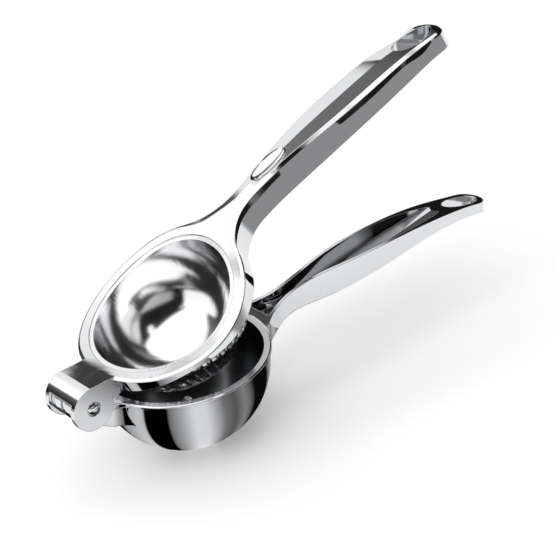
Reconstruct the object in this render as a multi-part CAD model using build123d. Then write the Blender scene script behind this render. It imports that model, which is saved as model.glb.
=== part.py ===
from build123d import *
import os
from math import asin, atan2, cos, degrees, radians, sin, sqrt

# A hand-held citrus press: a lower arm with the juice bowl, an upper arm with the press cup,
# and one rivet that joins them. Millimetres. The origin is the centre of the small flat under
# the bowl, +X runs to the handle tips, +Y along the hinge pin and +Z up. Heights called "level"
# are measured from the rim of the bowl.

# ---- bowl
RIM_HEIGHT = 37.0          # rim above the flat foot
RIM_RADIUS = 35.4          # outside of the lip
LIP_HEIGHT = 1.9           # thickness of the lip
BOWL_RADIUS = 34.4         # outer sphere
BOWL_CENTRE_DROP = 3.2     # centre of the sphere below the rim
BOWL_WALL = 2.0
DRAIN_RADIUS = 1.8
DRAIN_RINGS = ((9.0, 6), (15.5, 12))   # (circle radius, number of drain holes)

# ---- hinge
HINGE_REACH = 47.0         # hinge axis behind the bowl's centre
HINGE_LEVEL = 4.4
KNUCKLE_RADIUS = 7.4
KNUCKLE_HALF_WIDTH = 6.95
KNUCKLE_GROOVE_WIDTH = 2.6
KNUCKLE_GROOVE_DEPTH = 0.5
NECK_START = 39.5          # the neck is straight from here to the hinge
NECK_INSET = 1.0           # sides of the neck inside its lip
NECK_SOLE = ((-38.5, -10.0), (-30.0, -12.0))   # (distance, level) of its underside
EAR_RADIUS = 8.8
EAR_THICKNESS = 2.3
SIDE_GAP = 0.3             # knuckle to ear, each side
HOOD_GAP = 0.35            # knuckle to hood
HOOD_END = 122.0           # polar angle of the hood's edge when the arms are parallel
PIN_RADIUS = 2.0
PIN_RUNNING_GAP = 0.05     # pin in the knuckle
PIN_SEAT_GAP = 0.01        # riveted shank in the ears
PIN_HEAD_RADIUS = 2.5
PIN_HEAD_HEIGHT = 1.2
PIN_RECESS_DEPTH = 0.5     # the head sits in a shallow recess of the ear
PIN_RECESS_GAP = 0.4       # round the head
OPEN_ANGLE = 27.0          # opening of the arms at rest

# ---- ring of the upper arm
RING_RADIUS = 36.0
RING_LEVEL = 1.4           # top of the ring beside the cup
RING_CURVE = 0.0046        # rise of the ring's top, per mm, towards hinge and handle
SHOULDER_IN = 1.3          # narrow bevel round the ring: crease inside the edge
SHOULDER_WIDTH = 0.45      # its steeper outer strip
SHOULDER_DROP = 0.5        # upper and lower edge of that strip below the ring's top
SHOULDER_FOOT = 1.1

# ---- press cup: a fluted half ball, seated in the ring
CUP_RADIUS = 31.2
CUP_WALL = 1.8
CUP_LEVEL = 0.2            # centre of the half ball
CUP_TUBE = 8.0             # height of the tube above it, before its rim is trimmed
CUP_TOP_DROP = 0.3         # cup rim below the top of the ring
CUP_FLAT_RADIUS = 8.0      # small flat at the pole, outside
CUP_INNER_FLAT_RADIUS = 1.5
SEAT_GAP = 0.01
FLUTES = 48
FLUTE_RADIUS = 1.5
FLUTE_DEPTH = 0.85
FLUTE_FADE = 26.0          # degrees from the pole where the flutes run out
FLUTE_START = -3.0         # level of their upper ends

# ---- handles: (distance from the bowl's centre, half width)
UPPER_NECK = (52.0, 5.6)
UPPER_SIDE = ((84.0, 7.9), (118.0, 9.9), (142.0, 8.6))
UPPER_END_RADIUS = 7.5
UPPER_TIP = 164.8
LOWER_NECK = (55.0, 4.1)
LOWER_SIDE = ((84.0, 7.55), (112.0, 9.0), (137.0, 8.3))
LOWER_END_RADIUS = 7.0
LOWER_TIP = 167.8

# side views: (distance, level), from the ring or bowl to the tip
UPPER_RIDGE = ((34.0, 6.7), (45.0, 8.0), (58.0, 7.75), (80.0, 5.5), (100.0, 2.3), (120.0, -1.5),
               (140.0, -6.2), (155.0, -11.0), (169.0, -16.8))
UPPER_SOLE = ((-38.0, -0.4), (-28.0, -0.3), (-17.0, 0.0), (-8.0, -1.3), (2.0, -2.9), (16.0, -3.6),
              (35.0, -4.2), (60.0, -5.7), (80.0, -7.7), (100.0, -9.9), (120.0, -13.0),
              (140.0, -17.1), (169.0, -25.0))
LOWER_EDGE = ((18.0, -0.2), (30.0, -0.1), (41.0, 0.6), (55.0, 2.8), (70.0, 4.5), (88.0, 4.8), (110.0, 4.2),
              (130.0, 2.7), (150.0, -0.4), (173.0, -5.6))
LOWER_SOLE = ((18.0, -1.6), (26.0, -2.6), (32.0, -5.4), (38.0, -8.2), (48.0, -6.9), (70.0, -6.8),
              (90.0, -5.9), (110.0, -4.6), (130.0, -3.7), (150.0, -5.6), (173.0, -10.8))

# bevels of the upper handle: (distance, width of bevel, drop of its upper edge, drop of its lower edge)
UPPER_BEVELS = ((60.0, 2.3, 0.4, 4.0), (80.0, 1.8, 0.4, 4.0), (100.0, 1.9, 0.4, 4.0),
                (120.0, 2.4, 0.5, 3.9), (140.0, 2.1, 0.7, 3.6), (152.0, 1.8, 0.8, 3.2))
# bevels of the upper neck: (share of the neck's arc, crease inside the edge, then as above)
NECK_BEVELS = ((0.3, 2.9, 1.0, 0.4, 2.2), (0.6, 4.0, 1.7, 0.5, 3.1), (0.85, 5.2, 2.2, 0.5, 3.7))
# bevels of the rounded tip: (degrees from the tip, crease inside the edge), and their width and drops
TIP_BEVELS = ((65.0, 5.5), (40.0, 4.0), (15.0, 3.0), (-6.0, 2.6))
TIP_BEVEL_SIZE = (1.3, 0.6, 1.8)
KNEE_IN = 0.66             # every bevel has a knee, this share of its width inside its upper edge
KNEE_DROP = 0.36           # and this share of its height below it
BEVEL_OVERLAP = 0.25       # reach of the cutting tool past the crease
BEVEL_OVERCUT = 2.5        # and past the edge
RIDGE_TRIM = 0.05          # the two roof facets meet this far below the side curve

HANDLE_WALL = 2.4          # wall of the upper handle over its underside channel
HANDLE_ROOF = 5.0
UNDER_CHANNEL = (64.0, 138.0)
CHANNEL_WALL = 1.3         # walls of the lower handle's channel
CHANNEL_START = 39.5
CHANNEL_TAPER = 110.0      # from here on the channel narrows like half an ellipse
CHANNEL_END = 143.0
CHANNEL_RIDGE = 1.5        # low ridge along the middle of its floor
CHANNEL_FLOOR = ((36.0, -6.2), (48.0, -5.0), (70.0, -4.6), (90.0, -3.8), (110.0, -2.6),
                 (125.0, -1.3), (137.0, -0.1), (148.0, 0.9))

UPPER_HOLE_CENTRE = 151.6
UPPER_HOLE_HALF_LENGTH = 10.2
UPPER_HOLE_HALF_WIDTH = 5.1
UPPER_HOLE_TILT = 30.0
LOWER_HOLE_CENTRE = 155.9
LOWER_HOLE_HALF_LENGTH = 9.9
LOWER_HOLE_HALF_WIDTH = 4.9
LOWER_HOLE_TILT = 17.0
THUMB_CENTRE = 69.0
THUMB_SIZE = (9.6, 4.7, 2.2)

EAR_OUTER = KNUCKLE_HALF_WIDTH + SIDE_GAP + EAR_THICKNESS
EAR_INNER = KNUCKLE_HALF_WIDTH + SIDE_GAP
HINGE = Vector(-HINGE_REACH, 0, RIM_HEIGHT + HINGE_LEVEL)
TALL = 80.0


def at_level(x, level, y=0.0):
    """A point at a level measured from the bowl's rim."""
    return Vector(x, y, RIM_HEIGHT + level)


def height_at(curve, x):
    """Height of a side curve, which runs along +X, at the distance x."""
    low, high = 0.0, 1.0
    for _ in range(40):
        middle = (low + high) / 2
        if (curve @ middle).X < x:
            low = middle
        else:
            high = middle
    return (curve @ low).Z


def side_slab(top, bottom, half_width):
    """Solid between two side curves, as wide as the arm."""
    start = Line(bottom @ 0, top @ 0)
    end = Line(top @ 1, bottom @ 1)
    face = Face(Wire([start, top, end, bottom]))
    return extrude(face, amount=half_width, dir=(0, 1, 0), both=True)


def neck_arc_radius(ring_radius, neck):
    """Radius of the fillet that is tangent to the ring and to the neck's side."""
    x, width = neck
    return (x * x + width * width - ring_radius**2) / (2 * (ring_radius - width))


def handle_outline(ring_radius, neck, side, end_radius, tip):
    """One side of a handle's plan: neck fillet, flank and round end, from ring to tip."""
    radius = neck_arc_radius(ring_radius, neck)
    centre = Vector(neck[0], neck[1] + radius)
    tangent = centre * (ring_radius / centre.length)
    turn = atan2(tangent.Y - centre.Y, tangent.X - centre.X)
    if turn > 0:
        turn -= radians(360)
    middle = (turn - radians(90)) / 2
    on_arc = centre + Vector(cos(middle), sin(middle)) * radius
    start = Vector(*neck)
    end = Vector(tip - end_radius, end_radius)
    round_middle = Vector(tip - end_radius + end_radius * cos(radians(45)), end_radius * sin(radians(45)))
    return [
        ThreePointArc(tangent, on_arc, start),
        Spline(start, *[Vector(*p) for p in side], end, tangents=[(1, 0), (1, 0)]),
        ThreePointArc(end, round_middle, Vector(tip, 0)),
    ]


def handle_plan(ring_radius, neck, side, end_radius, tip):
    """Plan of a handle, closed through the ring's centre."""
    edges = handle_outline(ring_radius, neck, side, end_radius, tip)
    start = edges[0] @ 0
    far_side = [Line((0, 0), start)] + edges
    near_side = [mirror(edge, about=Plane.XZ) for edge in far_side]
    return make_face(far_side + near_side)


def inset_plan(ring_radius, neck, side, end_radius, tip, wall, span):
    """Plan of the channel in a handle: its walls stand inside the handle's, over a span of x."""
    inner_side = [(x, width - wall) for x, width in side]
    plan = handle_plan(ring_radius - wall, (neck[0], neck[1] - wall), inner_side, end_radius - wall,
                       tip - wall)
    return plan & Pos(sum(span) / 2, 0) * Rectangle(span[1] - span[0], TALL)


def lifted(plan):
    """A plan raised through the whole height of the object."""
    return extrude(Pos(0, 0, -TALL / 2) * plan, amount=2 * TALL, dir=(0, 0, 1))


def y_cylinder(radius, half_width, at=HINGE):
    return Pos(at) * Rot(90, 0, 0) * Cylinder(radius, 2 * half_width)


def loft_sections(sections):
    """A smooth solid through polygons that have the same number of corners."""
    faces = [Face(Wire.make_polygon(points, close=True)) for points in sections]
    return Solid.make_loft([f.outer_wire() for f in faces])


# ---- side curves
ring_step = RING_RADIUS / 3.6
ring_points = [at_level(ring_step * n, RING_LEVEL + RING_CURVE * (ring_step * n) ** 2) for n in range(-3, 3)]
hood_lean = radians(28)
hood_point = HINGE + Vector(sin(hood_lean), 0, cos(hood_lean)) * EAR_RADIUS
upper_top = Spline(hood_point, *ring_points, *[at_level(*p) for p in UPPER_RIDGE],
                   tangents=[(cos(hood_lean), 0, -sin(hood_lean)), (0.9, 0, -0.4)])
upper_sole = Spline(*[at_level(*p) for p in UPPER_SOLE])
lower_edge = Spline(*[at_level(*p) for p in LOWER_EDGE])
lower_sole = Spline(*[at_level(*p) for p in LOWER_SOLE])


def bevel_station(point, normal, inset, width, upper_drop, lower_drop):
    """Cross-section of the tool that bevels the upper arm's top edge at one place of its outline."""
    def inside(distance, drop):
        place = point - normal * distance
        height = height_at(upper_top, min(max(place.X, hood_point.X), UPPER_TIP))
        return Vector(place.X, place.Y, height - drop)
    crease = inside(inset, 0 if inset < abs(point.Y) - BEVEL_OVERLAP else RIDGE_TRIM)
    shoulder = inside(width, upper_drop)
    knee = inside(width * (1 - KNEE_IN), upper_drop + (lower_drop - upper_drop) * KNEE_DROP)
    edge = inside(0, lower_drop)
    rise = (crease - shoulder).normalized() * BEVEL_OVERLAP
    fall = (edge - knee).normalized() * BEVEL_OVERCUT
    crease, edge = crease + rise, edge + fall
    top = max(crease.Z, shoulder.Z) + 2 * BEVEL_OVERCUT
    return [crease, shoulder, knee, edge, Vector(edge.X, edge.Y, top), Vector(crease.X, crease.Y, top)]


def upper_bevel():
    """Tool for the bevel on the +Y side: narrow round the ring, wide along the handle."""
    sections = []
    plan = handle_outline(RING_RADIUS, UPPER_NECK, UPPER_SIDE, UPPER_END_RADIUS, UPPER_TIP)
    tangent = plan[0] @ 0
    first = degrees(asin(EAR_OUTER / RING_RADIUS))
    last = 180 - degrees(atan2(tangent.Y, tangent.X))
    for share in (-0.04, 0.1, 0.3, 0.5, 0.7, 0.85, 1.0):
        angle = radians(180 - (first + (last - first) * share))
        normal = Vector(cos(angle), sin(angle))
        sections.append(bevel_station(normal * RING_RADIUS, normal, SHOULDER_IN, SHOULDER_WIDTH, SHOULDER_DROP,
                                      SHOULDER_FOOT))
    for share, inset, width, upper_drop, lower_drop in NECK_BEVELS:
        point = plan[0] @ share
        along = plan[0] % share
        sections.append(bevel_station(point, Vector(-along.Y, along.X), inset, width, upper_drop, lower_drop))
    for x, width, upper_drop, lower_drop in UPPER_BEVELS:
        low, high = 0.0, 1.0
        for _ in range(40):
            middle = (low + high) / 2
            if (plan[1] @ middle).X < x:
                low = middle
            else:
                high = middle
        point = plan[1] @ low
        sections.append(bevel_station(point, Vector(0, 1), point.Y, width, upper_drop, lower_drop))
    for angle, inset in TIP_BEVELS:
        normal = Vector(cos(radians(angle)), sin(radians(angle)))
        centre = Vector(UPPER_TIP - UPPER_END_RADIUS, 0)
        sections.append(bevel_station(centre + normal * UPPER_END_RADIUS, normal, inset, *TIP_BEVEL_SIZE))
    return loft_sections(sections)


def flutes():
    """Tools for all flutes. Each is a slice of a hoop that fades out towards the pole."""
    sink = FLUTE_DEPTH / cos(radians(FLUTE_FADE))
    centre = at_level(0, CUP_LEVEL - sink)
    hoop_radius = CUP_RADIUS + FLUTE_RADIUS - FLUTE_DEPTH
    start = degrees(asin((CUP_LEVEL - FLUTE_START) / CUP_RADIUS))
    tube = Pos(centre + Vector(hoop_radius, 0, 0)) * Circle(FLUTE_RADIUS)
    around = Axis(centre, (0, 1, 0))
    tube = revolve(tube.rotate(around, start), axis=around, revolution_arc=90 - FLUTE_FADE - start)
    slice_of_hoop = tube & Pos(at_level(0, CUP_LEVEL)) * Sphere(CUP_RADIUS + 0.15)
    return [Rot(0, 0, 360 / FLUTES * n) * slice_of_hoop for n in range(FLUTES)]


def half_ball(radius, flat_radius):
    """Solid half ball with a small flat at its pole and a short tube above it."""
    top = CUP_LEVEL + CUP_TUBE
    flat = CUP_LEVEL - sqrt(radius**2 - flat_radius**2)
    middle = at_level(radius * cos(radians(40)), CUP_LEVEL - radius * sin(radians(40)))
    edges = [
        Line(at_level(0, top), at_level(radius, top)),
        Line(at_level(radius, top), at_level(radius, CUP_LEVEL)),
        ThreePointArc(at_level(radius, CUP_LEVEL), middle, at_level(flat_radius, flat)),
        Line(at_level(flat_radius, flat), at_level(0, flat)),
        Line(at_level(0, flat), at_level(0, top)),
    ]
    return revolve(Face(Wire(edges)), axis=Axis.Z)


def press_cup():
    """Thin fluted cup whose rim follows the curved top of the ring."""
    cup = half_ball(CUP_RADIUS, CUP_FLAT_RADIUS) - half_ball(CUP_RADIUS - CUP_WALL, CUP_INNER_FLAT_RADIUS)
    distances = [ring_step * n for n in range(-4, 5)]
    rim = Spline(*[at_level(x, RING_LEVEL - CUP_TOP_DROP + RING_CURVE * x * x) for x in distances])
    bottom = Line(at_level(distances[0], -RIM_HEIGHT), at_level(distances[-1], -RIM_HEIGHT))
    return (cup & side_slab(rim, bottom, TALL / 2)) - flutes()


def hanging_hole(centre, curve, half_length, half_width, tilt):
    """Tool for the oval hole near a handle's tip, square to a slope through the handle's top."""
    place = Pos(centre, 0, height_at(curve, centre)) * Rot(0, tilt, 0)
    return extrude(place * Ellipse(half_length, half_width), amount=TALL / 4, both=True)


def upper_arm():
    """The upper arm with its ring level, as it stands when the arms are parallel."""
    plate = Pos(-HINGE_REACH / 2 - 8, 0) * Rectangle(HINGE_REACH, 2 * EAR_OUTER)
    handle = handle_plan(RING_RADIUS, UPPER_NECK, UPPER_SIDE, UPPER_END_RADIUS, UPPER_TIP)
    slab = side_slab(upper_top, upper_sole, TALL / 2)
    far_side = Pos(0, 2 * TALL, 0) * Box(6 * TALL, 4 * TALL, 4 * TALL)
    half = (lifted(handle + Circle(RING_RADIUS)) & slab & far_side) - upper_bevel()
    body = half + mirror(half, about=Plane.XZ) + (lifted(plate) & slab)
    body += y_cylinder(EAR_RADIUS, EAR_OUTER)
    body -= half_ball(CUP_RADIUS + SEAT_GAP, CUP_FLAT_RADIUS)
    body -= y_cylinder(KNUCKLE_RADIUS + HOOD_GAP, EAR_INNER)
    body -= hood_opening()
    body -= y_cylinder(PIN_RADIUS + PIN_SEAT_GAP, 2 * EAR_OUTER)
    recess = y_cylinder(PIN_HEAD_RADIUS + PIN_RECESS_GAP, 2 * EAR_OUTER)
    body -= recess - y_cylinder(RING_RADIUS, EAR_OUTER - PIN_RECESS_DEPTH)
    inside = inset_plan(RING_RADIUS, UPPER_NECK, UPPER_SIDE, UPPER_END_RADIUS, UPPER_TIP, HANDLE_WALL,
                        UNDER_CHANNEL)
    roof = [at_level(x, level - HANDLE_ROOF) for x, level in UPPER_RIDGE[2:]]
    floor = [at_level(x, level - 3) for x, level in UPPER_SOLE[7:]]
    body -= lifted(inside) & side_slab(Spline(*roof), Spline(*floor), TALL / 2)
    body -= hanging_hole(UPPER_HOLE_CENTRE, upper_top, UPPER_HOLE_HALF_LENGTH, UPPER_HOLE_HALF_WIDTH,
                      UPPER_HOLE_TILT)
    thumb = scale(Sphere(1), by=THUMB_SIZE)
    slope = degrees(atan2(height_at(upper_top, THUMB_CENTRE - 5) - height_at(upper_top, THUMB_CENTRE + 5), 10))
    body -= Pos(THUMB_CENTRE, 0, height_at(upper_top, THUMB_CENTRE)) * Rot(0, slope, 0) * thumb
    return body


def hood_opening():
    """Space between the ears that is not covered by the hood, behind and below the knuckle."""
    reach = 30.0
    end = radians(HOOD_END)
    corners = [
        HINGE,
        HINGE + Vector(cos(end), 0, sin(end)) * reach,
        HINGE + Vector(-reach, 0, 0),
        HINGE + Vector(-reach, 0, -reach),
        HINGE + Vector(0, 0, -reach),
        HINGE + Vector(KNUCKLE_RADIUS + HOOD_GAP, 0, -reach),
        HINGE + Vector(KNUCKLE_RADIUS + HOOD_GAP, 0, 0),
    ]
    return extrude(Face(Wire.make_polygon(corners, close=True)), amount=EAR_INNER, dir=(0, 1, 0), both=True)


def bowl_blank(radius, flat_level):
    """Ball with a flat foot, cut off at the rim."""
    ball = Pos(at_level(0, -BOWL_CENTRE_DROP)) * Sphere(radius)
    keep = Pos(at_level(0, flat_level / 2)) * Cylinder(2 * RIM_RADIUS, -flat_level)
    tube = Pos(at_level(0, -BOWL_CENTRE_DROP / 2)) * Cylinder(radius, BOWL_CENTRE_DROP)
    return (ball & keep) + tube


def lower_arm():
    """Bowl, neck with knuckle, and channel handle."""
    handle = handle_plan(RIM_RADIUS, LOWER_NECK, LOWER_SIDE, LOWER_END_RADIUS, LOWER_TIP)
    body = lifted(handle) & side_slab(lower_edge, lower_sole, TALL / 2)
    profile = make_face([Polyline(*[at_level(*p) for p in neck_profile()], close=True)])
    profile = extrude(profile, amount=RIM_RADIUS, dir=(0, 1, 0), both=True)
    under_lip = Pos(at_level(0, -LIP_HEIGHT - TALL / 2)) * Box(2 * TALL, TALL, TALL)
    body += lifted(neck_plan(RIM_RADIUS, KNUCKLE_HALF_WIDTH)) & profile - under_lip
    body += lifted(neck_plan(BOWL_RADIUS - NECK_INSET, KNUCKLE_HALF_WIDTH - NECK_INSET)) & profile
    groove = y_cylinder(KNUCKLE_RADIUS - KNUCKLE_GROOVE_DEPTH, KNUCKLE_HALF_WIDTH)
    groove = y_cylinder(KNUCKLE_RADIUS + 1, KNUCKLE_GROOVE_WIDTH / 2) - groove
    body += y_cylinder(KNUCKLE_RADIUS, KNUCKLE_HALF_WIDTH) - groove
    lip = Pos(at_level(0, -LIP_HEIGHT / 2)) * Cylinder(RIM_RADIUS, LIP_HEIGHT)
    body += bowl_blank(BOWL_RADIUS, -RIM_HEIGHT) + chamfer(lip.edges(), 0.45)
    above = Pos(at_level(0, TALL / 2)) * Cylinder(RIM_RADIUS, TALL)
    body -= above + bowl_blank(BOWL_RADIUS - BOWL_WALL, -RIM_HEIGHT + BOWL_WALL)
    return body


def neck_plan(ring_radius, half_width):
    """Plan of the neck: it leaves the bowl in a fillet on each side and runs on to the hinge."""
    fillet = handle_outline(ring_radius, (NECK_START, half_width), (), half_width, HINGE_REACH)[0]
    end = Vector(HINGE_REACH, half_width)
    near_side = [Line((0, 0), fillet @ 0), fillet, Line(fillet @ 1, end), Line(end, (HINGE_REACH, 0))]
    far_side = [mirror(edge, about=Plane.XZ) for edge in near_side]
    return Rot(0, 0, 180) * make_face(near_side + far_side)


def neck_profile():
    """Side view of the neck between bowl and knuckle."""
    lean = radians(-120)
    return [
        (NECK_SOLE[-1][0], 0.0),
        (-HINGE_REACH, 0.0),
        (-HINGE_REACH + KNUCKLE_RADIUS * cos(lean), HINGE_LEVEL + KNUCKLE_RADIUS * sin(lean)),
        *NECK_SOLE,
    ]


def channel():
    """Space inside the lower handle: it narrows and runs out towards the tip, over a ridged floor."""
    inside = inset_plan(RIM_RADIUS, LOWER_NECK, LOWER_SIDE, LOWER_END_RADIUS, LOWER_TIP, CHANNEL_WALL,
                        (CHANNEL_START, CHANNEL_END))
    half_width = max(width for _, width in LOWER_SIDE) - CHANNEL_WALL
    taper = Pos(CHANNEL_TAPER, 0) * Ellipse(CHANNEL_END - CHANNEL_TAPER, half_width)
    inside &= taper + Pos(CHANNEL_TAPER / 2, 0) * Rectangle(CHANNEL_TAPER, 2 * half_width + 1)
    sections = []
    side, high = TALL / 8, TALL / 5
    for x, level in CHANNEL_FLOOR:
        sections.append([at_level(x, level, -side), at_level(x, level + CHANNEL_RIDGE), at_level(x, level, side),
                         at_level(x, level + high, side), at_level(x, level + high, -side)])
    return lifted(inside) & loft_sections(sections)


def drain_holes():
    return [
        Rot(0, 0, 360 / count * n) * Pos(radius, 0, RIM_HEIGHT / 4) * Cylinder(DRAIN_RADIUS, RIM_HEIGHT)
        for radius, count in DRAIN_RINGS
        for n in range(count)
    ]


def hinge_pin():
    """Rivet: a shank and a domed head against each ear."""
    ball = (PIN_HEAD_RADIUS**2 + PIN_HEAD_HEIGHT**2) / (2 * PIN_HEAD_HEIGHT)
    head = Sphere(ball) & Pos(0, 0, ball + TALL / 2 - PIN_HEAD_HEIGHT) * Box(TALL, TALL, TALL)
    seat = EAR_OUTER - PIN_RECESS_DEPTH
    head = Pos(0, 0, seat + PIN_HEAD_HEIGHT - ball) * head
    pin = Cylinder(PIN_RADIUS, 2 * seat) + head + mirror(head, about=Plane.XY)
    return Pos(HINGE) * Rot(90, 0, 0) * pin


def opened(solid):
    """Turn a piece of the upper arm about the hinge to its resting place."""
    return Pos(HINGE) * Rot(0, -OPEN_ANGLE, 0) * Pos(-HINGE) * solid


def main():
    os.makedirs("parts", exist_ok=True)
    lower = lower_arm() - channel() - drain_holes()
    lower -= y_cylinder(PIN_RADIUS + PIN_RUNNING_GAP, EAR_OUTER)
    lower -= hanging_hole(LOWER_HOLE_CENTRE, lower_edge, LOWER_HOLE_HALF_LENGTH, LOWER_HOLE_HALF_WIDTH,
                       LOWER_HOLE_TILT)
    export_step(lower, "parts/lower_arm.step")
    export_step(opened(upper_arm()), "parts/upper_arm.step")
    export_step(opened(press_cup()), "parts/press_cup.step")
    export_step(opened(hinge_pin()), "parts/hinge_pin.step")


main()
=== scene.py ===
"""Looks of the hand citrus press: plated castings, a pressed cup, a rivet and the studio around them."""

import logging
import math
from dataclasses import dataclass, field
from enum import Enum

import bpy
from mathutils import Matrix, Vector


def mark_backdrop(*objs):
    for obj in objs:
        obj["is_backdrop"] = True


log = logging.getLogger("citrus_press")
MM = 0.001


class Node(Enum):
    """The separate pieces of the press, as the model names them."""

    LOWER_ARM = "lower_arm"
    UPPER_ARM = "upper_arm"
    PRESS_CUP = "press_cup"
    HINGE_PIN = "hinge_pin"


def linear_rgb(hex_colour: str) -> tuple[float, float, float, float]:
    """Turn an sRGB hex colour into Blender's linear colour.

    Args:
        hex_colour: Colour such as "#D9DADB".

    Returns:
        Linear red, green and blue, and an alpha of 1.
    """
    digits = hex_colour.lstrip("#")
    channels = [int(digits[i : i + 2], 16) / 255 for i in (0, 2, 4)]
    red, green, blue = (c / 12.92 if c <= 0.04045 else ((c + 0.055) / 1.055) ** 2.4 for c in channels)
    return (red, green, blue, 1.0)


def add_node(
    tree: bpy.types.NodeTree,
    kind: str,
    settings: dict[str, object] | None = None,
    inputs: dict[str | int, object] | None = None,
) -> bpy.types.Node:
    """Add a shader node, set it up and link it.

    Args:
        tree: Node tree that gets the node.
        kind: Blender's name of the node type.
        settings: Properties of the node itself.
        inputs: Values or output sockets for its inputs, by input name or number.

    Returns:
        The new node.
    """
    node = tree.nodes.new(kind)
    for name, value in (settings or {}).items():
        setattr(node, name, value)
    for name, value in (inputs or {}).items():
        if isinstance(value, bpy.types.NodeSocket):
            tree.links.new(value, node.inputs[name])
        else:
            node.inputs[name].default_value = value
    return node


def fill_ramp(ramp: bpy.types.Node, colours: tuple[tuple[float, str], ...]) -> None:
    """Give a colour ramp its stops.

    Args:
        ramp: Colour ramp node.
        colours: Position from 0 to 1 and sRGB hex colour of each stop, in order.
    """
    stops = ramp.color_ramp.elements
    while len(stops) < len(colours):
        stops.new(1.0)
    for stop, (position, colour) in zip(stops, colours):
        stop.position = position
        stop.color = linear_rgb(colour)


def new_material(name: str) -> bpy.types.Material:
    """Make an empty material with a cleared node tree.

    Args:
        name: Name for the real material and how its surface was made.

    Returns:
        The new material.
    """
    material = bpy.data.materials.new(name)
    material.use_nodes = True
    material.node_tree.nodes.clear()
    return material


@dataclass(frozen=True)
class PolishedChrome:
    """Bright chromium plate over a buffed metal part.

    Chromium is a nearly neutral mirror, a little cooler than silver. Buffing leaves shallow waves
    that make reflected edges wander, rounds every edge by a few tenths of a millimetre, and leaves
    a thin haze where fingers and cloths have been. Deep recesses stay thin in plate, and their colour
    is darkened there with painted shade.
    """

    name: str
    colour: str = "#DFE0E2"
    # Painted shade: the colour that deep recesses are darkened to.
    recess_shade_colour: str = "#6A6B6C"
    recess_mm: float = 4.0
    recess_shade_share: tuple[float, float] = (0.35, 0.85)  # openness of a recess where the painted shade is full and where it ends
    recess_rays: int = 8
    roughness: float = 0.02
    haze: float = 0.04
    haze_share: tuple[float, float] = (0.45, 0.8)  # height of the grit where the haze starts and is full
    grit_size_mm: float = 0.6  # real grit is under 0.05 mm, and drawn coarser so that it shows
    grit_detail: float = 3.0
    wave_size_mm: float = 9.0
    wave_height_mm: float = 0.010  # real waves are a few microns high, and drawn higher so that they show
    wave_detail: float = 1.0
    edge_mm: float = 0.3
    edge_rays: int = 6

    def build(self) -> bpy.types.Material:
        """Make the material.

        Returns:
            A procedural material in Object coordinates.
        """
        material = new_material(self.name)
        tree = material.node_tree
        place = add_node(tree, "ShaderNodeTexCoord").outputs["Object"]
        metal = add_node(
            tree,
            "ShaderNodeBsdfPrincipled",
            inputs={
                "Base Color": self.colour_of(tree, place),
                "Metallic": 1.0,
                "Roughness": self.haze_of(tree, place),
                "Normal": self.relief_of(tree, place),
            },
        )
        add_node(tree, "ShaderNodeOutputMaterial", inputs={"Surface": metal.outputs["BSDF"]})
        return material

    def colour_of(self, tree: bpy.types.NodeTree, place: bpy.types.NodeSocket) -> bpy.types.NodeSocket:
        """Colour of the plate, darkened with painted shade in recesses, where it grows thinner and the buff
        doesn't reach.

        Args:
            tree: Node tree of the material.
            place: Object coordinates, not used here.

        Returns:
            Output socket with the colour.
        """
        return self.with_recess_shade(tree, linear_rgb(self.colour))

    def with_recess_shade(
        self, tree: bpy.types.NodeTree, bright: tuple[float, ...] | bpy.types.NodeSocket
    ) -> bpy.types.NodeSocket:
        """Mix the shade colour painted into the recesses with the bright one of the open faces.

        Args:
            tree: Node tree of the material.
            bright: Colour of the open faces, or an output socket with it.

        Returns:
            Output socket with the colour.
        """
        # Painted shade: ambient occlusion darkens the colour in recesses, creases and holes.
        openness = add_node(
            tree,
            "ShaderNodeAmbientOcclusion",
            {"samples": self.recess_rays, "only_local": True},
            {"Distance": self.recess_mm * MM},
        )
        fully_shaded, open_enough = self.recess_shade_share
        share = add_node(
            tree,
            "ShaderNodeMapRange",
            inputs={"Value": openness.outputs["AO"], "From Min": fully_shaded, "From Max": open_enough},
        )
        colour = add_node(
            tree,
            "ShaderNodeMix",
            {"data_type": "RGBA"},
            {0: share.outputs["Result"], 6: linear_rgb(self.recess_shade_colour), 7: bright},
        )
        return colour.outputs[2]

    def haze_of(self, tree: bpy.types.NodeTree, place: bpy.types.NodeSocket) -> bpy.types.NodeSocket:
        """Roughness with a patchy haze of fine polishing grit.

        Args:
            tree: Node tree of the material.
            place: Object coordinates.

        Returns:
            Output socket with the roughness.
        """
        grit = add_node(
            tree,
            "ShaderNodeTexNoise",
            inputs={"Vector": place, "Scale": 1 / (self.grit_size_mm * MM), "Detail": self.grit_detail},
        )
        clear, hazy = self.haze_share
        haze = add_node(
            tree,
            "ShaderNodeMapRange",
            inputs={
                "Value": grit.outputs["Fac"],
                "From Min": clear,
                "From Max": hazy,
                "To Min": self.roughness,
                "To Max": self.roughness + self.haze,
            },
        )
        return haze.outputs["Result"]

    def relief_of(self, tree: bpy.types.NodeTree, place: bpy.types.NodeSocket) -> bpy.types.NodeSocket:
        """Surface normal with buffed edges and shallow waves.

        Args:
            tree: Node tree of the material.
            place: Object coordinates.

        Returns:
            Output socket with the normal.
        """
        edges = add_node(
            tree, "ShaderNodeBevel", {"samples": self.edge_rays}, {"Radius": self.edge_mm * MM}
        )
        waves = add_node(
            tree,
            "ShaderNodeTexNoise",
            inputs={"Vector": place, "Scale": 1 / (self.wave_size_mm * MM), "Detail": self.wave_detail},
        )
        relief = add_node(
            tree,
            "ShaderNodeBump",
            inputs={
                "Height": waves.outputs["Fac"],
                "Strength": 1.0,
                "Distance": self.wave_height_mm * MM,
                "Normal": edges.outputs["Normal"],
            },
        )
        return relief.outputs["Normal"]


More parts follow.
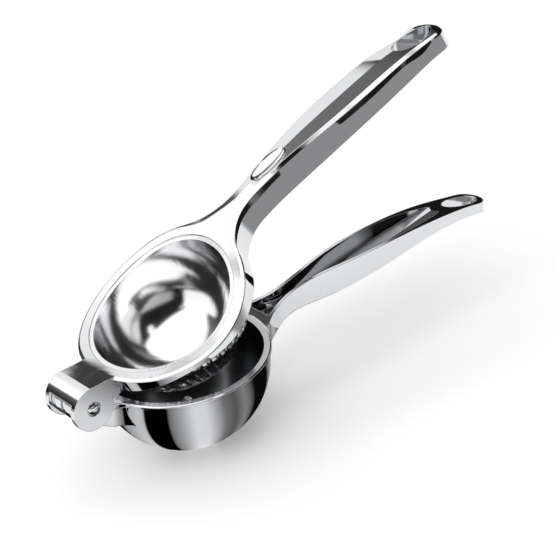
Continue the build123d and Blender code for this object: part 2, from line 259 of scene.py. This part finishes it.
@dataclass(frozen=True)
class SatinInsideChrome(PolishedChrome):
    """Bright chromium outside, and a blasted bowl inside that the plate only turns to satin.

    The satin spreads reflections into soft vertical streaks, and is coloured darker than the bright skin as
    painted shade.
    """

    # Painted shade: the darker colour inside the bowl.
    inside_shade_colour: str = "#7A7C7E"
    satin_roughness: float = 0.24
    bowl_centre_mm: tuple[float, float, float] = (0.0, 0.0, 33.8)
    satin_radius_mm: float = 32.6  # just past the inner wall, which is 32.4 mm from the bowl's centre
    satin_edge_mm: float = 0.15
    rim_radius_mm: float = 35.2
    rim_height_mm: float = 36.95  # just below the top of the rim

    def colour_of(self, tree: bpy.types.NodeTree, place: bpy.types.NodeSocket) -> bpy.types.NodeSocket:
        """Bright colour outside, and the darker colour of painted shade inside the bowl.

        Args:
            tree: Node tree of the material.
            place: Object coordinates.

        Returns:
            Output socket with the colour.
        """
        # Inside the bowl the colour takes the painted shade.
        share = self.inside_of(tree, place, self.satin_radius_mm)
        colour = add_node(
            tree,
            "ShaderNodeMix",
            {"data_type": "RGBA"},
            {0: share, 6: linear_rgb(self.colour), 7: linear_rgb(self.inside_shade_colour)},
        )
        return self.with_recess_shade(tree, colour.outputs[2])

    def haze_of(self, tree: bpy.types.NodeTree, place: bpy.types.NodeSocket) -> bpy.types.NodeSocket:
        """Roughness of the bright skin outside, and of the satin inside the bowl and on top of its rim.

        Args:
            tree: Node tree of the material.
            place: Object coordinates.

        Returns:
            Output socket with the roughness.
        """
        bright = super().haze_of(tree, place)
        height = add_node(tree, "ShaderNodeSeparateXYZ", inputs={"Vector": place}).outputs["Z"]
        high = add_node(
            tree, "ShaderNodeMath", {"operation": "GREATER_THAN"}, {0: height, 1: self.rim_height_mm * MM}
        )
        near = self.inside_of(tree, place, self.rim_radius_mm)
        rim = add_node(
            tree, "ShaderNodeMath", {"operation": "MULTIPLY"}, {0: near, 1: high.outputs["Value"]}
        )
        share = add_node(
            tree,
            "ShaderNodeMath",
            {"operation": "MAXIMUM"},
            {0: self.inside_of(tree, place, self.satin_radius_mm), 1: rim.outputs["Value"]},
        )
        roughness = add_node(
            tree,
            "ShaderNodeMix",
            {"data_type": "FLOAT"},
            {0: share.outputs["Value"], 2: bright, 3: self.satin_roughness},
        )
        return roughness.outputs[0]

    def inside_of(
        self, tree: bpy.types.NodeTree, place: bpy.types.NodeSocket, radius_mm: float
    ) -> bpy.types.NodeSocket:
        """Tell whether a place lies within a ball about the bowl's centre.

        Args:
            tree: Node tree of the material.
            place: Object coordinates.
            radius_mm: Radius of the ball.

        Returns:
            Output socket that is 1 inside the ball and 0 outside.
        """
        distance = add_node(
            tree,
            "ShaderNodeVectorMath",
            {"operation": "DISTANCE"},
            {0: place, 1: [v * MM for v in self.bowl_centre_mm]},
        )
        share = add_node(
            tree,
            "ShaderNodeMapRange",
            inputs={
                "Value": distance.outputs["Value"],
                "From Min": (radius_mm - self.satin_edge_mm) * MM,
                "From Max": (radius_mm + self.satin_edge_mm) * MM,
                "To Min": 1.0,
                "To Max": 0.0,
            },
        )
        return share.outputs["Result"]


@dataclass(frozen=True)
class BrushedCupChrome(PolishedChrome):
    """Chromium over the pressed cup, brushed from its pole up to its rim.

    The fine brush lines run along the meridians, so bright reflections fray into short rays.
    """

    centre_mm: tuple[float, float, float] = (-3.2, 0.0, 59.0)
    lean: float = 27.0
    line_count: float = 260.0  # round the cup: real lines are about 0.1 mm apart, and drawn wider to show
    line_length_mm: float = 14.0
    line_height_mm: float = 0.022
    line_detail: float = 2.0

    def relief_of(self, tree: bpy.types.NodeTree, place: bpy.types.NodeSocket) -> bpy.types.NodeSocket:
        """Surface normal with brush lines along the meridians of the cup.

        Args:
            tree: Node tree of the material.
            place: Object coordinates.

        Returns:
            Output socket with the normal.
        """
        smooth = super().relief_of(tree, place)
        upright = add_node(
            tree,
            "ShaderNodeMapping",
            {"vector_type": "TEXTURE"},
            {
                "Vector": place,
                "Location": [v * MM for v in self.centre_mm],
                "Rotation": (0.0, -math.radians(self.lean), 0.0),
            },
        )
        parts = add_node(tree, "ShaderNodeSeparateXYZ", inputs={"Vector": upright.outputs["Vector"]})
        turn = add_node(
            tree,
            "ShaderNodeMath",
            {"operation": "ARCTAN2"},
            {0: parts.outputs["Y"], 1: parts.outputs["X"]},
        )
        across = add_node(
            tree,
            "ShaderNodeMath",
            {"operation": "MULTIPLY"},
            {0: turn.outputs["Value"], 1: self.line_count / math.tau},
        )
        along = add_node(
            tree,
            "ShaderNodeMath",
            {"operation": "MULTIPLY"},
            {0: parts.outputs["Z"], 1: 1 / (self.line_length_mm * MM)},
        )
        pattern = add_node(
            tree, "ShaderNodeCombineXYZ", inputs={"X": across.outputs["Value"], "Y": along.outputs["Value"]}
        )
        lines = add_node(
            tree,
            "ShaderNodeTexNoise",
            inputs={"Vector": pattern.outputs["Vector"], "Scale": 1.0, "Detail": self.line_detail},
        )
        relief = add_node(
            tree,
            "ShaderNodeBump",
            inputs={
                "Height": lines.outputs["Fac"],
                "Strength": 1.0,
                "Distance": self.line_height_mm * MM,
                "Normal": smooth,
            },
        )
        return relief.outputs["Normal"]


@dataclass
class PlatedPiece:
    """A plated piece whose skin is the model's own shape."""

    node: Node
    finish: PolishedChrome

    def dress(self) -> bpy.types.Object:
        """Give the piece its finish.

        Returns:
            The model's object for the piece.
        """
        piece = bpy.data.objects[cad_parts[self.node.value].name]
        material = self.finish.build()
        for slot in piece.material_slots:
            slot.link = "OBJECT"
            slot.material = material
        return piece


@dataclass
class StudioCamera:
    """Camera that looks down across the bowl towards the far side and the handles.

    Angles are in degrees. The aim is how far the rim's centre lies off the line of sight, as a
    share of its distance.
    """

    bearing: float = 53.1
    depression: float = 29.78
    roll: float = -8.5
    distance_mm: float = 617.3
    aim_across: float = -0.0621
    aim_above: float = -0.0463
    lens_mm: float = 102.9
    film_mm: float = 36.0
    nearest_mm: float = 10.0
    rim_height_mm: float = 37.0

    def build(self) -> bpy.types.Object:
        """Place the camera, and make it the scene's own.

        Returns:
            The camera object.
        """
        bearing, depression, roll = (math.radians(a) for a in (self.bearing, self.depression, self.roll))
        forward = Vector(
            (
                math.cos(depression) * math.cos(bearing),
                math.cos(depression) * math.sin(bearing),
                -math.sin(depression),
            )
        )
        level = Vector((math.sin(bearing), -math.cos(bearing), 0))
        upright = level.cross(forward)
        right = math.cos(roll) * level + math.sin(roll) * upright
        up = math.cos(roll) * upright - math.sin(roll) * level
        sight = forward + self.aim_across * right + self.aim_above * up
        rim_centre = Vector((0, 0, self.rim_height_mm))
        camera = bpy.data.cameras.new("studio_camera")
        camera.sensor_width = self.film_mm
        camera.lens = self.lens_mm
        camera.clip_start = self.nearest_mm * MM
        mount = bpy.data.objects.new("studio_camera", camera)
        turn = Matrix((right, up, -forward)).transposed().to_4x4()
        turn.translation = (rim_centre - sight * self.distance_mm) * MM
        mount.matrix_world = turn
        bpy.context.collection.objects.link(mount)
        bpy.context.scene.camera = mount
        return mount


class Wall(Enum):
    """Sides of the studio room, each with its outward, rightward and upward direction."""

    CEILING = ((0.0, 0.0, 1.0), (1.0, 0.0, 0.0), (0.0, 1.0, 0.0))
    BACK = ((0.0, 1.0, 0.0), (1.0, 0.0, 0.0), (0.0, 0.0, 1.0))
    FRONT = ((0.0, -1.0, 0.0), (1.0, 0.0, 0.0), (0.0, 0.0, 1.0))
    LEFT = ((-1.0, 0.0, 0.0), (0.0, 1.0, 0.0), (0.0, 0.0, 1.0))


@dataclass(frozen=True)
class LitPanel:
    """A softly edged lit panel on one side of the room.

    Sizes are in wall distances: 1 is as far across as the wall is away. The radiance runs evenly
    from the panel's left edge to its right edge.
    """

    name: str
    wall: Wall
    middle: tuple[float, float]
    half_size: tuple[float, float]
    edge: tuple[float, float]
    radiance: tuple[float, float]
    rounded: bool = False

    def glow(self, tree: bpy.types.NodeTree, direction: bpy.types.NodeSocket) -> bpy.types.NodeSocket:
        """Add the panel to the room.

        Args:
            tree: Node tree of the room.
            direction: Direction that is looked in.

        Returns:
            Output socket with the panel's radiance in that direction.
        """
        depth, rightward, upward = (
            add_node(
                tree, "ShaderNodeVectorMath", {"operation": "DOT_PRODUCT"}, {0: direction, 1: axis}
            ).outputs["Value"]
            for axis in self.wall.value
        )
        places = [
            add_node(tree, "ShaderNodeMath", {"operation": "DIVIDE"}, {0: reach, 1: depth}).outputs["Value"]
            for reach in (rightward, upward)
        ]
        left = self.middle[0] - self.half_size[0]
        strength = add_node(
            tree,
            "ShaderNodeMapRange",
            inputs={
                "Value": places[0],
                "From Min": left,
                "From Max": left + 2 * self.half_size[0],
                "To Min": self.radiance[0],
                "To Max": self.radiance[1],
            },
        ).outputs["Result"]
        faced = add_node(tree, "ShaderNodeMath", {"operation": "GREATER_THAN"}, {0: depth, 1: 0.0})
        shares = [faced.outputs["Value"]]
        if self.rounded:
            shares.append(self.inside_round(tree, places))
        else:
            shares += [self.inside(tree, place, side) for side, place in enumerate(places)]
        for share in shares:
            strength = add_node(
                tree, "ShaderNodeMath", {"operation": "MULTIPLY"}, {0: strength, 1: share}
            ).outputs["Value"]
        return strength

    def inside_round(
        self, tree: bpy.types.NodeTree, places: list[bpy.types.NodeSocket]
    ) -> bpy.types.NodeSocket:
        """Share of an oval panel's light that is left at a place.

        Args:
            tree: Node tree of the room.
            places: Place across and above, in wall distances.

        Returns:
            Output socket that is 1 well inside the oval and 0 past its soft edge.
        """
        place = add_node(tree, "ShaderNodeCombineXYZ", inputs={"X": places[0], "Y": places[1]})
        offset = add_node(
            tree,
            "ShaderNodeVectorMath",
            {"operation": "SUBTRACT"},
            {0: place.outputs["Vector"], 1: (*self.middle, 0.0)},
        )
        scaled = add_node(
            tree,
            "ShaderNodeVectorMath",
            {"operation": "DIVIDE"},
            {0: offset.outputs["Vector"], 1: (*self.half_size, 1.0)},
        )
        reach = add_node(
            tree, "ShaderNodeVectorMath", {"operation": "LENGTH"}, {0: scaled.outputs["Vector"]}
        )
        share = add_node(
            tree,
            "ShaderNodeMapRange",
            {"interpolation_type": "SMOOTHSTEP"},
            {
                "Value": reach.outputs["Value"],
                "From Min": 1.0 - self.edge[0] / 2,
                "From Max": 1.0 + self.edge[0] / 2,
                "To Min": 1.0,
                "To Max": 0.0,
            },
        )
        return share.outputs["Result"]

    def inside(
        self, tree: bpy.types.NodeTree, place: bpy.types.NodeSocket, side: int
    ) -> bpy.types.NodeSocket:
        """Share of the panel's light that is left at a place.

        Args:
            tree: Node tree of the room.
            place: Place across or above, in wall distances.
            side: 0 for across and 1 for above.

        Returns:
            Output socket that is 1 well inside the panel and 0 past its soft edge.
        """
        offset = add_node(
            tree, "ShaderNodeMath", {"operation": "SUBTRACT"}, {0: place, 1: self.middle[side]}
        )
        distance = add_node(tree, "ShaderNodeMath", {"operation": "ABSOLUTE"}, {0: offset.outputs["Value"]})
        share = add_node(
            tree,
            "ShaderNodeMapRange",
            {"interpolation_type": "SMOOTHSTEP"},
            {
                "Value": distance.outputs["Value"],
                "From Min": self.half_size[side] - self.edge[side] / 2,
                "From Max": self.half_size[side] + self.edge[side] / 2,
                "To Min": 1.0,
                "To Max": 0.0,
            },
        )
        return share.outputs["Result"]


@dataclass(frozen=True)
class StudioTable:
    """Matt white table, with grey cards beyond the soft edges of the sheet under the press: painted shade.

    Paper and card are matt fibre, so they show soft shadows and no gloss. The camera sees the plain
    white paper all over. The metal also sees the grey cards, which stand in for shade on the table
    round the sheet. Sizes are in metres.
    """

    name: str = "matt_white_paper_and_painted_shade_cards"
    white: str = "#F4F4F4"
    # Painted shade: the grey that only the metal sees beyond the sheet.
    grey: str = "#A8A8A8"
    paper_glow: float = 0.28
    edge: float = 0.016
    front_edge: float = -0.105
    side_edge: tuple[float, float] = (-0.200, 0.845)  # Y at X = 0, and how fast it grows with X
    back_edge: float = 0.21
    size: float = 8.0

    def build(self) -> bpy.types.Object:
        """Lay the table out.

        Returns:
            Nothing, as mark_backdrop gives nothing back; the table is marked as part of the stage.
        """
        bpy.ops.object.select_all(action="DESELECT")
        bpy.ops.mesh.primitive_grid_add(x_subdivisions=4, y_subdivisions=4, size=self.size)
        table = bpy.context.object
        table.name = "studio_table"
        table.data.materials.append(self.paper())
        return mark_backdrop(table)

    def paper(self) -> bpy.types.Material:
        """Make the table's material: matt, white where the sheet lies.

        Returns:
            A procedural material in Object coordinates.
        """
        material = new_material(self.name)
        tree = material.node_tree
        place = add_node(tree, "ShaderNodeTexCoord").outputs["Object"]
        parts = add_node(tree, "ShaderNodeSeparateXYZ", inputs={"Vector": place})
        start, slope = self.side_edge
        line = add_node(
            tree,
            "ShaderNodeMath",
            {"operation": "MULTIPLY_ADD"},
            {0: parts.outputs["X"], 1: -slope, 2: -start},
        )
        past_side = add_node(
            tree, "ShaderNodeMath", {"operation": "ADD"}, {0: parts.outputs["Y"], 1: line.outputs["Value"]}
        )
        past_front = add_node(
            tree, "ShaderNodeMath", {"operation": "SUBTRACT"}, {0: parts.outputs["Y"], 1: self.front_edge}
        )
        past_either = add_node(
            tree,
            "ShaderNodeMath",
            {"operation": "MAXIMUM"},
            {0: past_side.outputs["Value"], 1: past_front.outputs["Value"]},
        )
        before_back = add_node(
            tree, "ShaderNodeMath", {"operation": "SUBTRACT"}, {0: self.back_edge, 1: parts.outputs["Y"]}
        )
        inside = add_node(
            tree,
            "ShaderNodeMath",
            {"operation": "MINIMUM"},
            {0: past_either.outputs["Value"], 1: before_back.outputs["Value"]},
        )
        share = add_node(
            tree,
            "ShaderNodeMapRange",
            {"interpolation_type": "SMOOTHSTEP"},
            {"Value": inside.outputs["Value"], "From Min": -self.edge, "From Max": self.edge},
        )
        ray = add_node(tree, "ShaderNodeLightPath")
        white = add_node(
            tree,
            "ShaderNodeMath",
            {"operation": "MAXIMUM"},
            {0: share.outputs["Result"], 1: ray.outputs["Is Camera Ray"]},
        ).outputs["Value"]
        # Beyond the sheet the table is grey for the metal only: painted shade in its reflections.
        colour = add_node(
            tree,
            "ShaderNodeMix",
            {"data_type": "RGBA"},
            {0: white, 6: linear_rgb(self.grey), 7: linear_rgb(self.white)},
        )
        surface = add_node(tree, "ShaderNodeBsdfDiffuse", inputs={"Color": colour.outputs[2]})
        glow = add_node(tree, "ShaderNodeEmission", inputs={"Strength": self.seen_glow(tree, ray, white)})
        both = add_node(
            tree, "ShaderNodeAddShader", inputs={0: surface.outputs["BSDF"], 1: glow.outputs["Emission"]}
        )
        add_node(tree, "ShaderNodeOutputMaterial", inputs={"Surface": both.outputs["Shader"]})
        return material

    def seen_glow(
        self, tree: bpy.types.NodeTree, ray: bpy.types.Node, share: bpy.types.NodeSocket
    ) -> bpy.types.NodeSocket:
        """Lift the paper to white where it is seen straight on, in metal or through glass.

        Args:
            tree: Node tree of the material.
            ray: Light Path node, which tells how the table is seen.
            share: 1 on the paper and 0 on the grey cards.

        Returns:
            Output socket with the strength of the glow.
        """
        seen = ray.outputs["Is Camera Ray"]
        for kind in ("Is Glossy Ray", "Is Transmission Ray"):
            seen = add_node(
                tree, "ShaderNodeMath", {"operation": "MAXIMUM"}, {0: seen, 1: ray.outputs[kind]}
            ).outputs["Value"]
        level = add_node(tree, "ShaderNodeMath", {"operation": "MULTIPLY"}, {0: seen, 1: self.paper_glow})
        glow = add_node(
            tree, "ShaderNodeMath", {"operation": "MULTIPLY"}, {0: level.outputs["Value"], 1: share}
        )
        return glow.outputs["Value"]


@dataclass(frozen=True)
class GlowingReflectionCard:
    """Round card that lies under the bowl, with black, grey and white sectors that glow with no lamp on them.

    Only the metal sees it: it is a painted reflection that sets off the bright plate with dark and
    pale bands. The colour is given at angles from +X in degrees, and runs evenly from each to the
    next. Sizes are in metres.
    """

    radius: float = 0.092
    hole_radius: float = 0.013
    height: float = 0.0001
    corners: int = 96
    sectors: tuple[tuple[float, str], ...] = (
        (0.0, "#C8C8C8"),
        (20.0, "#0A0A0A"),
        (38.0, "#0A0A0A"),
        (50.0, "#B0B0B0"),
        (85.0, "#E8E8E8"),
        (110.0, "#707070"),
        (128.0, "#0A0A0A"),
        (146.0, "#0A0A0A"),
        (152.0, "#9A9A9A"),
        (180.0, "#D8D8D8"),
        (186.5, "#D0D0D0"),
        (188.5, "#010101"),
        (212.5, "#010101"),
        (215.0, "#7E7E7E"),
        (226.0, "#B4B4B4"),
        (240.0, "#F2F2F2"),
        (252.0, "#EFEFEF"),
        (262.0, "#BCBCBC"),
        (271.0, "#7E7E7E"),
        (284.0, "#5E5E5E"),
        (297.0, "#8C8C8C"),
        (305.0, "#707070"),
        (313.0, "#0C0C0C"),
        (342.0, "#0C0C0C"),
        (352.0, "#9A9A9A"),
    )

    def build(self) -> bpy.types.Object:
        """Cut the card and lay it down.

        Returns:
            Nothing, as mark_backdrop gives nothing back; the card is marked as part of the stage.
        """
        bpy.ops.object.select_all(action="DESELECT")
        bpy.ops.mesh.primitive_circle_add(
            vertices=self.corners, radius=self.radius, fill_type="NGON", location=(0, 0, self.height)
        )
        card = bpy.context.object
        card.name = "glowing_reflection_card"
        bpy.ops.object.mode_set(mode="EDIT")
        bpy.ops.mesh.select_all(action="SELECT")
        bpy.ops.mesh.inset(thickness=self.radius - self.hole_radius)
        bpy.ops.mesh.delete(type="ONLY_FACE")
        bpy.ops.object.mode_set(mode="OBJECT")
        card.data.materials.append(self.glowing_card())
        card.visible_camera = False
        card.visible_diffuse = False
        card.visible_shadow = False
        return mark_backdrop(card)

    def glowing_card(self) -> bpy.types.Material:
        """Make the card's material: sectors that glow unlit, which metal shows as clean bands of painted
        reflection.

        Returns:
            A procedural material in Object coordinates.
        """
        material = new_material("glowing_card_of_painted_reflection")
        tree = material.node_tree
        place = add_node(tree, "ShaderNodeTexCoord").outputs["Object"]
        parts = add_node(tree, "ShaderNodeSeparateXYZ", inputs={"Vector": place})
        angle = add_node(
            tree, "ShaderNodeMath", {"operation": "ARCTAN2"}, {0: parts.outputs["Y"], 1: parts.outputs["X"]}
        )
        turn = add_node(
            tree, "ShaderNodeMath", {"operation": "DIVIDE"}, {0: angle.outputs["Value"], 1: math.tau}
        )
        share = add_node(
            tree, "ShaderNodeMath", {"operation": "WRAP"}, {0: turn.outputs["Value"], 1: 1.0, 2: 0.0}
        )
        ramp = add_node(tree, "ShaderNodeValToRGB", inputs={"Fac": share.outputs["Value"]})
        fill_ramp(ramp, tuple((degrees / 360, colour) for degrees, colour in self.sectors))
        # Painted reflection: the sectors glow by themselves, with no lamp lighting them.
        glow = add_node(tree, "ShaderNodeEmission", inputs={"Color": ramp.outputs["Color"]})
        add_node(tree, "ShaderNodeOutputMaterial", inputs={"Surface": glow.outputs["Emission"]})
        return material


@dataclass
class Studio:
    """Table in a dim room with lit panels overhead and on the walls round the press."""

    table: StudioTable = field(default_factory=StudioTable)
    card: GlowingReflectionCard = field(default_factory=GlowingReflectionCard)
    room_glow: tuple[float, float, float] = (-0.2, 0.45, 0.87)
    room: tuple[tuple[float, str], ...] = (
        (0.0, "#2E2E2E"),
        (0.45, "#161616"),
        (0.78, "#1E1E1E"),
        (0.86, "#4A4A4A"),
        (0.95, "#808080"),
        (1.0, "#868686"),
    )
    panels: tuple[LitPanel, ...] = (
        LitPanel("overhead", Wall.CEILING, (-0.70, 0.0), (1.45, 0.80), (0.16, 0.16), (1.40, 1.40), True),
        LitPanel("overhead_left", Wall.CEILING, (-2.0, -0.15), (0.45, 0.80), (0.40, 0.30), (1.00, 0.80)),
        LitPanel("left_low", Wall.LEFT, (0.14, 0.26), (0.60, 0.22), (0.10, 0.10), (1.10, 1.20)),
        LitPanel("back_left", Wall.BACK, (-0.29, 0.78), (0.31, 0.22), (0.12, 0.08), (1.20, 1.10)),
        LitPanel("back_right", Wall.BACK, (0.26, 0.77), (0.24, 0.21), (0.10, 0.08), (0.90, 0.90)),
        LitPanel("back_far_right", Wall.BACK, (0.595, 0.535), (0.145, 0.115), (0.08, 0.02), (0.95, 0.95)),
        LitPanel("back_end", Wall.BACK, (0.80, 0.80), (0.14, 0.14), (0.06, 0.06), (1.00, 1.00)),
        LitPanel("front_high", Wall.CEILING, (0.15, -0.80), (0.11, 0.18), (0.07, 0.12), (1.20, 1.20)),
        LitPanel("front_low", Wall.FRONT, (-0.40, 0.27), (0.70, 0.17), (0.40, 0.14), (0.35, 0.65)),
        LitPanel("front_low_right", Wall.FRONT, (0.62, 0.42), (0.30, 0.07), (0.12, 0.05), (0.50, 0.40)),
        LitPanel("right_high", Wall.CEILING, (0.90, -0.55), (0.20, 0.20), (0.10, 0.10), (0.40, 0.40)),
    )

    def build(self) -> None:
        """Set up the table, the card under the bowl and the room."""
        self.table.build()
        self.card.build()
        self.light_room()

    def light_room(self) -> None:
        """Colour the room by direction, palest above and behind the press, and hang the lit panels in it."""
        world = bpy.data.worlds.new("studio_room")
        bpy.context.scene.world = world
        world.use_nodes = True
        tree = world.node_tree
        tree.nodes.clear()
        direction = add_node(tree, "ShaderNodeTexCoord").outputs["Generated"]
        towards = add_node(
            tree,
            "ShaderNodeVectorMath",
            {"operation": "DOT_PRODUCT"},
            {0: direction, 1: Vector(self.room_glow).normalized()},
        )
        share = add_node(
            tree,
            "ShaderNodeMapRange",
            inputs={"Value": towards.outputs["Value"], "From Min": -1.0, "From Max": 1.0},
        )
        ramp = add_node(tree, "ShaderNodeValToRGB", inputs={"Fac": share.outputs["Result"]})
        fill_ramp(ramp, self.room)
        light = ramp.outputs["Color"]
        for panel in self.panels:
            log.info("lit panel %s", panel.name)
            light = add_node(
                tree, "ShaderNodeVectorMath", {"operation": "ADD"}, {0: light, 1: panel.glow(tree, direction)}
            ).outputs["Vector"]
        glow = add_node(tree, "ShaderNodeBackground", inputs={"Color": light})
        add_node(tree, "ShaderNodeOutputWorld", inputs={"Surface": glow.outputs["Background"]})


def main() -> None:
    """Build the press and its studio in order."""
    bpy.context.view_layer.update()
    # Chromium on a buffed casting: a near-black and white mirror with soft, wandering glints.
    plated = PolishedChrome("chromium_plated_zinc_casting_buffed")
    # The same skin outside, and a satin inside the bowl, coloured darker with painted shade, where only soft
    # streaks are mirrored.
    bowl = SatinInsideChrome("chromium_plated_zinc_casting_satin_inside", edge_mm=0.5)
    # Chromium on a brushed pressing: blurred mirror images that fray along the brush lines.
    brushed = BrushedCupChrome(
        "chromium_plated_steel_pressing_brushed",
        colour="#EDEDEE",
        # Painted shade: the cup's recesses are darkened towards this colour.
        recess_shade_colour="#B4B4B5",
        roughness=0.11,
        wave_size_mm=14.0,
    )
    # Turned and polished steel: a slightly greyer and softer mirror with a crisp edge.
    turned = PolishedChrome(
        "steel_rivet_turned_and_polished", colour="#DADBDC", roughness=0.07, edge_mm=0.15
    )
    pieces = (
        PlatedPiece(Node.LOWER_ARM, bowl),
        PlatedPiece(Node.UPPER_ARM, plated),
        PlatedPiece(Node.PRESS_CUP, brushed),
        PlatedPiece(Node.HINGE_PIN, turned),
    )
    for piece in pieces:
        shown = piece.dress()
        log.info("%s: %d faces in %s", shown.name, len(shown.data.polygons), piece.finish.name)
    StudioCamera().build()
    Studio().build()
    bpy.context.scene.view_settings.view_transform = "Standard"


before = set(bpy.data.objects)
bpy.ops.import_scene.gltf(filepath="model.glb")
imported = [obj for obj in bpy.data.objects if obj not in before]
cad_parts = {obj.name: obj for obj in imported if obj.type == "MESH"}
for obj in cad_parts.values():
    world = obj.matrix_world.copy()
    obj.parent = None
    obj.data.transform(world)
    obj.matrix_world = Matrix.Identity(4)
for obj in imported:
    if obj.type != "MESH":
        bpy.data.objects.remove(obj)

if __name__ == "__main__":
    logging.basicConfig(level=logging.INFO, format="%(message)s")
    main()
